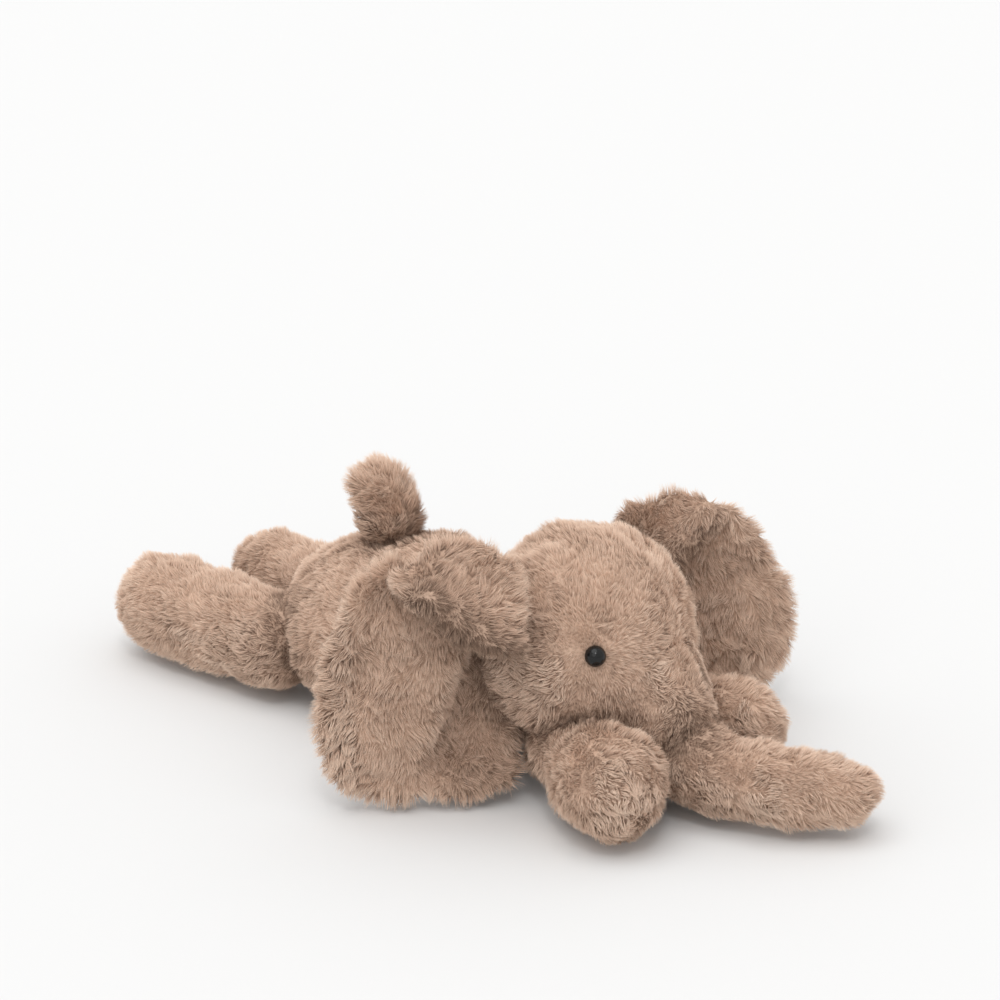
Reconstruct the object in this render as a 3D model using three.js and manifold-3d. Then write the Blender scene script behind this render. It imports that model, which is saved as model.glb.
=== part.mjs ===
// Stuffed elephant lying flat on its belly: sewn pile-fabric skins over fibre filling,
// a pellet pouch in the belly and two bead eyes held by washers inside the head.
// Millimetres, +Z up. The elephant faces -Y and its left side is +X.
// The origin is on the floor, on the belly's flat resting face, halfway along the toy.

import * as THREE from 'three';
import { mergeVertices } from 'three/addons/utils/BufferGeometryUtils.js';
import Module from 'manifold-3d';

const wasm = await Module();
wasm.setup();

// Driving dimensions
const cloth = 1.8; // pile fabric with its backing
const seamGap = 0.4; // between two sewn panels
const fillGap = 0.4; // between a skin and what fills it
const jointGap = 1; // between parts that turn on each other
const socketGap = 1.6; // round the tail's root
const swingGap = 2.5; // round a leg
const reach = 400; // size of the blocks that divide a form

const torso = {
  spine: [[0, -8, 32], [0, 26, 35], [0, 57, 33.5]],
  radii: [33, 39, 37],
  wide: 1.05,
  sag: 0.14, // how much wider the form is near the floor
  beltHeight: 12, // seam between the back panels and the belly panel
};
const neckLift = 18; // degrees that the head lifts
const head = {
  centre: [0, -49, 56.5],
  radii: [42, 40.5, 41.5],
  muzzle: [1, -84, 35.5],
  muzzleRadius: 21.5,
  gussetHalfWidth: 12,
  chinHeight: 26, // seam between the chin and the gusset
};
const trunk = {
  spine: [[0, -98, 20], [3, -117, 18], [9, -134.5, 17.5], [17.5, -148, 17], [22, -154, 16.5]],
  radii: [17, 16.5, 16, 15, 13.5],
  seamHeight: 12,
  curl: 25, // degrees that the trunk lifts
};
const legs = {
  foreleg_right: { spine: [[-18.5, -51, 20], [-40, -95, 20.5]], radii: [17, 20.5] },
  foreleg_left: { spine: [[18.5, -51, 20], [37.5, -93, 20]], radii: [17, 19.5] },
  hindleg_right: { spine: [[-24, 82, 21], [-25, 146, 21]], radii: [19.5, 21] },
  hindleg_left: { spine: [[24, 82, 21], [30.5, 141, 20]], radii: [19.5, 20] },
};
const legSeamHeight = 20;
const tail = {
  spine: [[0, 44, 73], [0, 54, 89]],
  radii: [8, 8],
  wide: 1.8,
};
const ear = {
  halfWidth: 36,
  squareness: 3, // 2 is an ellipse, more is boxier
  narrowing: 0.27, // of the width, at the top
  padding: 2.4,
  cup: 6, // depth of the hollow that faces forwards
};
// Yaw is degrees backwards from straight out. Bend is how far the top and bottom curl forwards, in radians.
const ears = {
  right: { root: [-42, -44], yaw: 47, halfHeight: 53.5, bend: 0.15, raise: 0.5 },
  left: { root: [44, -35], yaw: -25, halfHeight: 46, bend: 0.15, raise: 3 },
};
const eye = {
  // Each is on the skin, under the ends of the pile; the head is turned a little to its left.
  places: { right: [-26.4, -75.8, 63.6], left: [33.4, -65.6, 63.2] },
  beadRadius: 3.9,
  shankRadius: 1.3,
  shankLength: 10,
  washerDepth: 4,
  washerRadius: 5.5,
  washerThick: 1.5,
};
const pouch = { spine: [[0, 22, 12], [0, 48, 12]], radii: [14, 14], wide: 1.1 };

// Materials
const finish = (color, roughness) => new THREE.MeshStandardMaterial({ color, roughness, metalness: 0 });
const pile = finish(0xb0957f, 0.95);
const fibre = finish(0xf1efe9, 1);
const pouchCloth = finish(0xd9d2c4, 0.9);
const blackGloss = finish(0x0d0c0c, 0.08);
const washerPlastic = finish(0xe6e4de, 0.5);

const vector = (point) => new THREE.Vector3(...point);

// A closed geometry becomes a solid that can be cut and joined.
function solid(geometry) {
  geometry.deleteAttribute('normal');
  geometry.deleteAttribute('uv');
  const merged = mergeVertices(geometry, 1e-4);
  return new wasm.Manifold(new wasm.Mesh({
    numProp: 3,
    vertProperties: new Float32Array(merged.attributes.position.array),
    triVerts: new Uint32Array(merged.index.array),
  }));
}

const model = new THREE.Group();

function addPart(name, body, look) {
  const shape = body.getMesh();
  const geometry = new THREE.BufferGeometry();
  geometry.setAttribute('position', new THREE.BufferAttribute(new Float32Array(shape.vertProperties), 3));
  geometry.setIndex(new THREE.BufferAttribute(new Uint32Array(shape.triVerts), 1));
  geometry.computeVertexNormals();
  const mesh = new THREE.Mesh(geometry, look);
  mesh.name = name;
  model.add(mesh);
}

// The space that a form fills at a few angles, in degrees about the left-right axis through a point.
function swept(makeGeometry, point, angles) {
  return angles.map((degrees) => {
    const geometry = makeGeometry();
    geometry.translate(...point.map((value) => -value));
    geometry.rotateX(THREE.MathUtils.degToRad(degrees));
    geometry.translate(...point);
    return solid(geometry);
  }).reduce((all, next) => all.add(next));
}

// A round-ended stuffed tube along a curved spine, flattened where it lies on the floor.
function tube({ spine, radii, wide = 1, sag = 0, around = 20, steps = 4, capSteps = 4 }, inset = 0) {
  const curve = new THREE.CatmullRomCurve3(spine.map(vector));
  const length = curve.getLength();
  const last = radii.length - 1;
  const radiusAt = (share) => {
    const low = Math.min(Math.floor(share * last), last - 1);
    return THREE.MathUtils.lerp(radii[low], radii[low + 1], share * last - low) - inset;
  };
  const profile = [new THREE.Vector2(0, -radiusAt(0))];
  for (let i = 1; i <= capSteps; i += 1) {
    const turn = (i / capSteps - 1) * Math.PI / 2;
    profile.push(new THREE.Vector2(radiusAt(0) * Math.cos(turn), radiusAt(0) * Math.sin(turn)));
  }
  for (let i = 1; i < steps; i += 1) {
    profile.push(new THREE.Vector2(radiusAt(i / steps), length * i / steps));
  }
  for (let i = 0; i < capSteps; i += 1) {
    const turn = i / capSteps * Math.PI / 2;
    profile.push(new THREE.Vector2(radiusAt(1) * Math.cos(turn), length + radiusAt(1) * Math.sin(turn)));
  }
  profile.push(new THREE.Vector2(0, length + radiusAt(1)));
  const geometry = new THREE.LatheGeometry(profile, around);
  const position = geometry.attributes.position;
  for (let i = 0; i < position.count; i += 1) {
    const along = position.getY(i);
    const share = THREE.MathUtils.clamp(along / length, 0, 1);
    const tangent = curve.getTangentAt(share);
    const side = new THREE.Vector3().crossVectors(tangent, new THREE.Vector3(0, 0, 1)).normalize();
    const rise = new THREE.Vector3().crossVectors(side, tangent);
    const point = curve.getPointAt(share).addScaledVector(tangent, along - share * length);
    const spread = wide * (1 - sag * position.getZ(i) / radii[0]);
    point.addScaledVector(side, position.getX(i) * spread).addScaledVector(rise, position.getZ(i));
    position.setXYZ(i, point.x, point.y, Math.max(point.z, inset));
  }
  return geometry;
}

function ball(centre, radii, inset = 0, around = 22) {
  const geometry = new THREE.SphereGeometry(1, around, around / 2);
  geometry.scale(radii[0] - inset, radii[1] - inset, radii[2] - inset);
  geometry.translate(...centre);
  return geometry;
}

// A block between two corners, to keep or cut one side of a form.
function block(low, high) {
  const size = high.map((value, i) => value - low[i]);
  const geometry = new THREE.BoxGeometry(...size);
  geometry.translate(...low.map((value, i) => value + size[i] / 2));
  return solid(geometry);
}

const above = (height) => block([-reach, -reach, height + seamGap / 2], [reach, reach, reach]);
const below = (height) => block([-reach, -reach, -reach], [reach, reach, height - seamGap / 2]);
const rightOf = (x) => block([-reach, -reach, -reach], [x - seamGap / 2, reach, reach]);
const leftOf = (x) => block([x + seamGap / 2, -reach, -reach], [reach, reach, reach]);

const sides = { right: -1, left: 1 };

// Forms, each at an inset from its outer surface; a negative inset is a clearance.
const torsoForm = (inset, around = 22) => tube({ ...torso, around, steps: 2, capSteps: 3 }, inset);
const trunkForm = (inset, around = 16) => tube({ ...trunk, around, steps: 5, capSteps: 3 }, inset);
const pouchForm = (inset) => tube({ ...pouch, around: 12, steps: 1, capSteps: 2 }, inset);
const tailForm = (inset) => tube({ ...tail, around: 12, steps: 1, capSteps: 3 }, inset);
const legForm = (leg, inset, around = 16) => tube({ ...leg, around, steps: 1, capSteps: 3 }, inset);
const headForm = (inset) => solid(ball(head.centre, head.radii, inset)).add(solid(tube({
  spine: [head.centre, head.muzzle], radii: [head.radii[0] - 8, head.muzzleRadius], steps: 2, around: 20,
}, inset)));

// The space round the tail's ball-shaped root, whose middle is on the axis that it turns about.
const tailSpace = solid(ball(
  tail.spine[0], [tail.radii[0] * tail.wide, tail.radii[0], tail.radii[0]], -socketGap, 20,
));
// The space round two legs, with room for a small swing; a leg's root is a ball on its own axis.
const legSpace = (first, second) => solid(legForm(legs[first], -swingGap, 12))
  .add(solid(legForm(legs[second], -swingGap, 12)));
const forelegSpace = legSpace('foreleg_right', 'foreleg_left');
const hindlegSpace = legSpace('hindleg_right', 'hindleg_left');
// The spaces that the trunk and the torso sweep in the head.
const trunkSpace = swept(() => trunkForm(-jointGap, 12), trunk.spine[0], [0, -trunk.curl]);
const neckStops = [0, neckLift / 4, neckLift / 2, neckLift * 3 / 4, neckLift];
const torsoSpace = swept(() => torsoForm(-jointGap, 16), torso.spine[0], neckStops);

function addTorso() {
  const spaces = hindlegSpace.add(forelegSpace).add(tailSpace);
  const skin = solid(torsoForm(0)).subtract(solid(torsoForm(cloth))).subtract(spaces);
  addPart('torso_back_right', skin.intersect(rightOf(0)).intersect(above(torso.beltHeight)), pile);
  addPart('torso_back_left', skin.intersect(leftOf(0)).intersect(above(torso.beltHeight)), pile);
  addPart('torso_belly', skin.intersect(below(torso.beltHeight)), pile);
  const filling = solid(torsoForm(cloth + fillGap)).subtract(spaces);
  addPart('torso_fibre', filling.subtract(solid(pouchForm(cloth))), fibre);
  addPart('pellet_pouch', solid(pouchForm(cloth + fillGap)), pouchCloth);
}

// A bead and its shank, laid along +Y from the face of the cloth inwards.
function eyeProfile(grow) {
  const bead = [new THREE.Vector2(0, -eye.beadRadius * 1.3 - grow)];
  const steps = 4;
  for (let i = 1; i <= steps; i += 1) {
    const turn = i / steps * Math.PI * 0.62;
    bead.push(new THREE.Vector2(
      (eye.beadRadius + grow) * Math.sin(turn),
      -eye.beadRadius * 0.3 - (eye.beadRadius + grow) * Math.cos(turn),
    ));
  }
  bead.push(new THREE.Vector2(eye.shankRadius + grow, bead[steps].y + grow));
  bead.push(new THREE.Vector2(eye.shankRadius + grow, eye.shankLength + grow));
  bead.push(new THREE.Vector2(0, eye.shankLength + grow));
  return new THREE.LatheGeometry(bead, 12);
}

// The washer that grips the shank, inside the head.
function washerRing() {
  const low = eye.washerDepth;
  const high = eye.washerDepth + eye.washerThick;
  const inner = eye.shankRadius + fillGap;
  return new THREE.LatheGeometry([
    new THREE.Vector2(inner, low),
    new THREE.Vector2(eye.washerRadius, low),
    new THREE.Vector2(eye.washerRadius, high),
    new THREE.Vector2(inner, high),
    new THREE.Vector2(inner, low),
  ], 12);
}

// Room in the filling for the shank and the washer.
function washerSpace() {
  const low = eye.washerDepth - fillGap;
  const high = eye.washerDepth + eye.washerThick + fillGap;
  return new THREE.LatheGeometry([
    new THREE.Vector2(0, 0),
    new THREE.Vector2(eye.shankRadius + fillGap, 0),
    new THREE.Vector2(eye.shankRadius + fillGap, low),
    new THREE.Vector2(eye.washerRadius + 2 * fillGap, low),
    new THREE.Vector2(eye.washerRadius + 2 * fillGap, high),
    new THREE.Vector2(eye.shankRadius + fillGap, high),
    new THREE.Vector2(eye.shankRadius + fillGap, eye.shankLength + fillGap),
    new THREE.Vector2(0, eye.shankLength + fillGap),
  ], 10);
}

// Turns an eye's piece to point at the middle of the head and puts it in its place on one side.
function onHead(geometry, word) {
  const place = vector(eye.places[word]);
  const inwards = vector(head.centre).sub(place).normalize();
  geometry.applyQuaternion(new THREE.Quaternion().setFromUnitVectors(new THREE.Vector3(0, 1, 0), inwards));
  geometry.translate(place.x, place.y, place.z);
  return solid(geometry);
}

function addHead() {
  let spaces = torsoSpace.add(forelegSpace).add(trunkSpace);
  let fillSpaces = spaces;
  for (const word of Object.keys(sides)) {
    const eyeSpace = onHead(eyeProfile(fillGap), word);
    spaces = spaces.add(eyeSpace);
    fillSpaces = fillSpaces.add(eyeSpace).add(onHead(washerSpace(), word));
    addPart(`eye_bead_${word}`, onHead(eyeProfile(0), word), blackGloss);
    addPart(`eye_washer_${word}`, onHead(washerRing(), word), washerPlastic);
  }
  const skin = headForm(0).subtract(headForm(cloth)).subtract(spaces);
  addPart('head_side_right', skin.intersect(rightOf(-head.gussetHalfWidth)), pile);
  addPart('head_side_left', skin.intersect(leftOf(head.gussetHalfWidth)), pile);
  const middle = skin.intersect(rightOf(head.gussetHalfWidth)).intersect(leftOf(-head.gussetHalfWidth));
  addPart('head_gusset', middle.intersect(above(head.chinHeight)), pile);
  addPart('chin', middle.intersect(below(head.chinHeight)), pile);
  addPart('head_fibre', headForm(cloth + fillGap).subtract(fillSpaces), fibre);
}

function addTrunk() {
  const skin = solid(trunkForm(0)).subtract(solid(trunkForm(cloth)));
  addPart('trunk_upper', skin.intersect(above(trunk.seamHeight)), pile);
  addPart('trunk_under', skin.intersect(below(trunk.seamHeight)), pile);
  addPart('trunk_fibre', solid(trunkForm(cloth + fillGap)), fibre);
}

function addLeg(name, leg) {
  const skin = solid(legForm(leg, 0)).subtract(solid(legForm(leg, cloth)));
  addPart(`${name}_upper`, skin.intersect(above(legSeamHeight)), pile);
  addPart(`${name}_under`, skin.intersect(below(legSeamHeight)), pile);
  addPart(`${name}_fibre`, solid(legForm(leg, cloth + fillGap)), fibre);
}

function addTail() {
  const skin = solid(tailForm(0)).subtract(solid(tailForm(cloth)));
  const [root, tip] = tail.spine.map(vector);
  const slope = Math.atan2(tip.y - root.y, tip.z - root.z);
  const half = (low, high) => {
    const geometry = new THREE.BoxGeometry(reach, high - low, reach);
    geometry.translate(0, (high + low) / 2, 0);
    geometry.rotateX(-slope);
    geometry.translate(root.x, root.y, root.z);
    return solid(geometry);
  };
  addPart('tail_front', skin.intersect(half(-reach, -seamGap / 2)), pile);
  addPart('tail_back', skin.intersect(half(seamGap / 2, reach)), pile);
  addPart('tail_fibre', solid(tailForm(cloth + fillGap)), fibre);
}

// One layer of an ear: a lathe-turned disc stretched to the ear's outline, cupped and hung on the head.
function earLayer({ root, yaw, halfHeight, bend, raise }, side, low, high) {
  const rings = [0, 0.45, 0.8, 1];
  const swell = (share) => Math.sqrt(Math.max(0, 1 - share ** 4)) * 0.85 + 0.15;
  const profile = [
    ...rings.map((share) => new THREE.Vector2(share, low * swell(share))),
    ...rings.map((share) => new THREE.Vector2(share, high * swell(share))).reverse(),
  ];
  const geometry = new THREE.LatheGeometry(profile, 22);
  const position = geometry.attributes.position;
  const hang = new THREE.Matrix4().makeTranslation(root[0], root[1], 0)
    .multiply(new THREE.Matrix4().makeRotationZ(THREE.MathUtils.degToRad(yaw * side)));
  const point = new THREE.Vector3();
  for (let i = 0; i < position.count; i += 1) {
    const share = Math.hypot(position.getX(i), position.getZ(i));
    const angle = Math.atan2(position.getZ(i), position.getX(i));
    const power = 2 / ear.squareness;
    const outwards = Math.sign(Math.cos(angle)) * Math.abs(Math.cos(angle)) ** power;
    const upwards = Math.sign(Math.sin(angle)) * Math.abs(Math.sin(angle)) ** power;
    const rise = share * upwards;
    const across = ear.halfWidth * (1 + share * outwards) * (1 - ear.narrowing * (1 + rise) / 2);
    const curl = bend * rise;
    const radius = halfHeight / bend + position.getY(i);
    const height = raise + halfHeight + radius * Math.sin(curl);
    const depth = radius * Math.cos(curl) - halfHeight / bend + ear.cup * (1 - share ** 2);
    point.set(across * side, depth, height).applyMatrix4(hang);
    position.setXYZ(i, point.x, point.y, point.z);
  }
  if (side < 0) {
    const index = geometry.index.array;
    for (let i = 0; i < index.length; i += 3) {
      [index[i], index[i + 1]] = [index[i + 1], index[i]];
    }
  }
  return geometry;
}

function addEar(word, pose, side) {
  const half = ear.padding / 2;
  const apart = half + 2 * fillGap;
  const layers = {
    front: [-apart - cloth, -apart],
    wadding: [-half, half],
    back: [apart, apart + cloth],
  };
  for (const [layer, [low, high]] of Object.entries(layers)) {
    addPart(`ear_${word}_${layer}`, solid(earLayer(pose, side, low, high)), layer === 'wadding' ? fibre : pile);
  }
}

addTorso();
addHead();
addTrunk();
addTail();
for (const [name, leg] of Object.entries(legs)) {
  addLeg(name, leg);
}
for (const [word, side] of Object.entries(sides)) {
  addEar(word, ears[word], side);
}

export default model;
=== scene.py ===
# Stuffed elephant lying on its belly: stuffed skins, a long pile grown on them, bead eyes.
import math
import bpy
import numpy as np
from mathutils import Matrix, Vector
from mathutils.kdtree import KDTree


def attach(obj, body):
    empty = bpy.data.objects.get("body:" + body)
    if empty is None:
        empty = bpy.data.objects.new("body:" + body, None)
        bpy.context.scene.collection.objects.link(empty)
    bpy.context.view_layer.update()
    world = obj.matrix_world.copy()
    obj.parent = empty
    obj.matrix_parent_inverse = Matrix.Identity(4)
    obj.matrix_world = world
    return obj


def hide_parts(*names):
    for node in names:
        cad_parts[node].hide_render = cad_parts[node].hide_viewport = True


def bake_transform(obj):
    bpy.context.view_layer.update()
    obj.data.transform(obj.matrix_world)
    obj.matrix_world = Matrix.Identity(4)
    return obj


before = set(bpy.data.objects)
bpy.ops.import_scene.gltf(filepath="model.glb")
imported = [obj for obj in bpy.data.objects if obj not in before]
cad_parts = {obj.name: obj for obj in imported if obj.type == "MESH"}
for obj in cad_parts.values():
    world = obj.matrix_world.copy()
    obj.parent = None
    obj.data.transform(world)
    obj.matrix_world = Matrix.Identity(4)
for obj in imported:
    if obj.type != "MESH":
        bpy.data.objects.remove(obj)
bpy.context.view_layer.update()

mm = 0.001
scene = bpy.context.scene
print("frame loaded,", len(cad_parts), "nodes")


def deselectAll():
    for thing in bpy.context.selected_objects:
        thing.select_set(False)


def makeActive(piece):
    deselectAll()
    piece.select_set(True)
    bpy.context.view_layer.objects.active = piece


deselectAll()
for leftover in ("Cube", "Light", "Camera"):
    if leftover in bpy.data.objects:
        bpy.data.objects.remove(bpy.data.objects[leftover])

# Camera places are in millimetres and degrees, and the floor's size is in metres.
studio = {
    "azimuth": -49, "elevation": 21.5, "distance": 1736.9, "target": (187.2, 154.7, 0), "lens": 144, "sensor": 36,
    "floorSize": 12, "floorShade": (0.745, 0.745, 0.742), "floorRoughness": 0.9, "floorSpecular": 0.1,
    "skyStrength": 0.86,
    # each lamp's direction, the degrees that its light spreads, and its strength
    "lamps": {"lampAbove": ((-0.5, 0.1, 2), 50, 0.95), "lampFront": ((-1.6, -0.6, 1.3), 40, 0.3),
              "lampSmall": ((-0.75, -0.7, 1.5), 12, 0.38)},
}


def placeCamera():
    azimuth, elevation = math.radians(studio["azimuth"]), math.radians(studio["elevation"])
    level = math.cos(elevation)
    back = Vector((math.sin(azimuth) * level, -math.cos(azimuth) * level, math.sin(elevation)))
    place = (Vector(studio["target"]) + back * studio["distance"]) * mm
    bpy.ops.object.camera_add(location=place)
    camera = bpy.context.object
    camera.name = "camera"
    camera.rotation_euler = (-back).to_track_quat("-Z", "Y").to_euler()
    camera.data.lens = studio["lens"]
    camera.data.sensor_width = studio["sensor"]
    camera.data.clip_end = 50
    scene.camera = camera


def softLight(name, towards, spreadAngle, strength):
    # a far, broad light, so that the floor is lit evenly
    bpy.ops.object.light_add(type="SUN", location=towards)
    lamp = bpy.context.object
    lamp.name = name
    lamp.data.angle = math.radians(spreadAngle)
    lamp.data.energy = strength
    lamp.rotation_euler = (-Vector(towards)).to_track_quat("-Z", "Y").to_euler()


def nodeOf(tree, kind, **values):
    node = tree.nodes.new(kind)
    for key, value in values.items():
        if key in node.inputs:
            node.inputs[key].default_value = value
        else:
            setattr(node, key, value)
    return node


def newMaterial(name):
    material = bpy.data.materials.new(name)
    material.use_nodes = True
    return material, material.node_tree, material.node_tree.nodes["Principled BSDF"]


def addFloor():
    bpy.ops.mesh.primitive_plane_add(size=studio["floorSize"], location=(0, 0, 0))
    floor = bpy.context.object
    floor.name = "floor"
    material, tree, shader = newMaterial("floorPaper")
    shader.inputs["Base Color"].default_value = (*studio["floorShade"], 1)
    shader.inputs["Roughness"].default_value = studio["floorRoughness"]
    shader.inputs["Specular IOR Level"].default_value = studio["floorSpecular"]
    floor.data.materials.append(material)


placeCamera()
addFloor()
for name, (towards, spreadAngle, strength) in studio["lamps"].items():
    softLight(name, towards, spreadAngle, strength)
world = bpy.data.worlds.new("paleRoom")
scene.world = world
world.use_nodes = True
world.node_tree.nodes["Background"].inputs["Color"].default_value = (1, 1, 1, 1)
world.node_tree.nodes["Background"].inputs["Strength"].default_value = studio["skyStrength"]
scene.view_settings.view_transform = "Standard"
deselectAll()
print("camera, floor and lights placed")

# Stuffed forms. Spines and radii are in millimetres and run from root to tip.
# Wide stretches a form sideways, and sag widens it more towards the floor.
forms = {
    "torso": {"spine": [(0, -8, 32), (0, 25, 36), (0, 56, 32.5)], "radii": [33, 40, 36], "wide": 1.06, "sag": 0.2},
    "head": {"spine": [(0, -49, 56.5), (1, -84, 35.5)], "radii": [34, 21.5], "ball": (42, 40.5, 41.5)},
    "trunk": {"spine": [(0, -98, 20), (3, -117, 18), (9, -134.5, 18), (17, -147.5, 17.5), (21.5, -153, 17)],
              "radii": [18.5, 17.3, 17.2, 16.7, 15.2]},
    "foreleg_right": {"spine": [(-18, -52, 20), (-37, -93.5, 22)], "radii": [16.5, 22.8]},
    "foreleg_left": {"spine": [(18.5, -51, 20), (37.5, -93, 20)], "radii": [17, 19.5]},
    "hindleg_right": {"spine": [(-22.5, 83, 22), (-24, 145.5, 22)], "radii": [20.5, 22.2]},
    "hindleg_left": {"spine": [(24, 82, 21), (30.5, 141, 19.5)], "radii": [19.5, 19.5]},
    "tail": {"spine": [(0, 44, 73), (0, 54, 89)], "radii": [8, 8], "wide": 1.8},
}
floorLift = 1.2  # lowest point of a skin
spineStep = 4  # a form's direction is taken this far ahead and behind
# How far a skin lies under the pile's outer surface.
pileDepth = 2.9
pileDepths = {"tail": 1.2, "head": 1.6, "ear_left": 3.6, "ear_right": 3.4}
voxels = {"skin": 4, "tail": 2.5, "ear": 2}


def coordsOf(mesh):
    flat = np.zeros(len(mesh.vertices) * 3, np.float32)
    mesh.vertices.foreach_get("co", flat)
    return flat.reshape(-1, 3).astype(float)


def setCoords(mesh, coords):
    mesh.vertices.foreach_set("co", np.asarray(coords, np.float32).ravel())
    mesh.update()


def unit(vectors):
    return vectors / np.maximum(np.linalg.norm(vectors, axis=-1, keepdims=True), 1e-9)


def spineAt(form, share):
    # points, directions and radii at shares of the spine's length
    points = np.array(form["spine"], float)
    steps = np.linalg.norm(np.diff(points, axis=0), axis=1)
    along = np.concatenate([[0], np.cumsum(steps)])
    place = share * along[-1]

    def pointAt(way):
        return np.stack([np.interp(way, along, points[:, i]) for i in range(3)], -1)

    centre = pointAt(place)
    ahead = pointAt(np.minimum(place + spineStep, along[-1]))
    behind = pointAt(np.maximum(place - spineStep, 0))
    radius = np.interp(share, np.linspace(0, 1, len(form["radii"])), form["radii"])
    return centre, unit(ahead - behind), radius, along[-1]


def addTube(name, form, inset):
    # a ball drawn out along a spine, with a round cap at each end
    bpy.ops.mesh.primitive_uv_sphere_add(segments=36, ring_count=40, radius=1)
    piece = bpy.context.object
    piece.name = name
    ball = coordsOf(piece.data)
    ring = np.arccos(np.clip(-ball[:, 2], -1, 1)) / math.pi  # 0 at the root's pole, 1 at the tip's
    turn = np.arctan2(ball[:, 1], ball[:, 0])
    length = spineAt(form, np.zeros(1))[3]
    first, last = form["radii"][0] - inset, form["radii"][-1] - inset
    total = length + (first + last) * math.pi / 2
    way = ring * total
    capRoot, capTip = first * math.pi / 2, total - last * math.pi / 2
    rootTurn = np.clip(way / first, 0, math.pi / 2)
    tipTurn = np.clip((way - capTip) / last, 0, math.pi / 2)
    share = np.clip((way - capRoot) / length, 0, 1)
    centre, ahead, radius, _ = spineAt(form, share)
    radius = radius - inset
    atRoot, atTip = way < capRoot, way > capTip
    out = np.where(atRoot, first * np.sin(rootTurn), np.where(atTip, last * np.cos(tipTurn), radius))
    push = np.where(atRoot, -first * np.cos(rootTurn), np.where(atTip, last * np.sin(tipTurn), 0))
    side = unit(np.cross(ahead, (0, 0, 1)))
    rise = np.cross(side, ahead)
    up = out * np.sin(turn)
    widen = form.get("wide", 1) * (1 - form.get("sag", 0) * up / form["radii"][0])
    point = centre + ahead * push[:, None] + side * (out * np.cos(turn) * widen)[:, None] + rise * up[:, None]
    point[:, 2] = np.maximum(point[:, 2], floorLift)
    setCoords(piece.data, point * mm)
    return piece


def addBall(name, centre, radii, inset):
    bpy.ops.mesh.primitive_uv_sphere_add(segments=40, ring_count=28, radius=1)
    piece = bpy.context.object
    piece.name = name
    setCoords(piece.data, (coordsOf(piece.data) * (np.array(radii) - inset) + centre) * mm)
    return piece


def applyModifiers(piece):
    makeActive(piece)
    for modifier in list(piece.modifiers):
        bpy.ops.object.modifier_apply(modifier=modifier.name)


def remeshed(piece, voxel):
    # one even skin round all that the piece holds
    cut = piece.modifiers.new("evenFaces", "REMESH")
    cut.mode = "VOXEL"
    cut.voxel_size = voxel * mm
    ease = piece.modifiers.new("ease", "SMOOTH")
    ease.factor = 0.5
    ease.iterations = 4
    applyModifiers(piece)
    return piece


# Ear outlines are in the ear's own plane: outwards from the root, and height. Yaw is degrees backwards.
# The roll and the pleat are fold lines, and a bulge is its place, its width and height, and how far it stands out.
ears = {
    "ear_right": {
        "root": (-42, -44), "yaw": 47, "side": -1,
        "outline": [(-7, 102), (3, 109), (20, 110), (38, 104.5), (51, 91), (59, 74), (65, 52), (67.5, 34),
                    (65, 16), (59, 6), (50, 3), (25, 2), (2, 2.5), (-9, 8), (-10, 30), (-8, 65)],
        "middle": (28, 52), "roll": ((34, 97), (4, 74)), "rollHeight": 16, "overhang": 8,
        "pleat": ((6, 80), (27, 18)), "pleatDepth": 14,
        "bulge": (36, 46, 18, 26, 4), "groove": 2.4,
    },
    "ear_left": {
        "root": (44, -35), "yaw": -25, "side": 1,
        "outline": [(-8, 91), (2, 96), (14, 98.5), (32, 93.5), (47.5, 80.5), (61, 60), (69, 40), (69.5, 22),
                    (60.5, 7), (36, 4), (2, 5), (-8, 14), (-9, 34), (-8, 60)],
        "middle": (28, 50), "roll": ((32, 84), (2, 60)), "rollHeight": 9, "overhang": 4,
        "pleat": ((2, 66), (12, 20)), "pleatDepth": 3,
        "bulge": (46, 36, 14, 16, 4), "groove": 2,
    },
}
# What both ears share: thickness and cup, and where their folds start, end and fade.
earFolds = {
    "thickness": 6, "cup": 6, "cupBase": 0.55, "halfSize": (38, 54), "edgeSharpness": 6,
    "rollRise": 3, "rollEnd": 46, "rollFade": 20, "lipWidth": 13, "lipShare": 0.7,
    "overhangStart": -6, "overhangFade": 10,
    "pleatWidth": 5, "pleatFoot": 5, "pleatFade": 24, "grooveInside": 12.5, "grooveWidth": 3, "grooveStart": 18,
    "grooveFade": 14,
}
# How far the shade that is painted into the pile of the ears' folds reaches.
paintedFoldShade = {"below": 5, "width": 8, "end": 40, "fade": 18, "behindShare": 0.75, "behindReach": 22, "foot": 8,
             "footFade": 20}


def waves(points, size, seed):
    # a smooth field between about -1 and 1 that changes over the given size
    draw = np.random.default_rng(seed)
    total = np.zeros(len(points))
    for octave in range(6):
        run = unit(draw.normal(size=3)) * (2 * math.pi / size) * draw.uniform(0.6, 1.6)
        total += np.sin(points @ run + draw.uniform(0, 2 * math.pi))
    return total / 2.4


def smoothStep(value):
    value = np.clip(value, 0, 1)
    return value * value * (3 - 2 * value)


def sideOfLine(points, start, end):
    # signed distance from a line, positive to the left of its run
    run = unit(np.array(end, float) - np.array(start, float))
    away = points - np.array(start, float)
    return run[0] * away[:, 1] - run[1] * away[:, 0]


def alongLine(points, start, end):
    run = np.array(end, float) - np.array(start, float)
    return (points - np.array(start, float)) @ run / (run @ run)


def earAxes(form):
    yaw = math.radians(form["yaw"] * form["side"])
    out = np.array([math.cos(yaw), math.sin(yaw), 0]) * form["side"]
    forwards = np.array([out[1], -out[0], 0]) * form["side"]
    return out, forwards


def earPlane(form, points):
    # points seen in the ear's own plane
    return np.stack([(points - np.array([*form["root"], 0])) @ earAxes(form)[0], points[:, 2]], 1)


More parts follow.
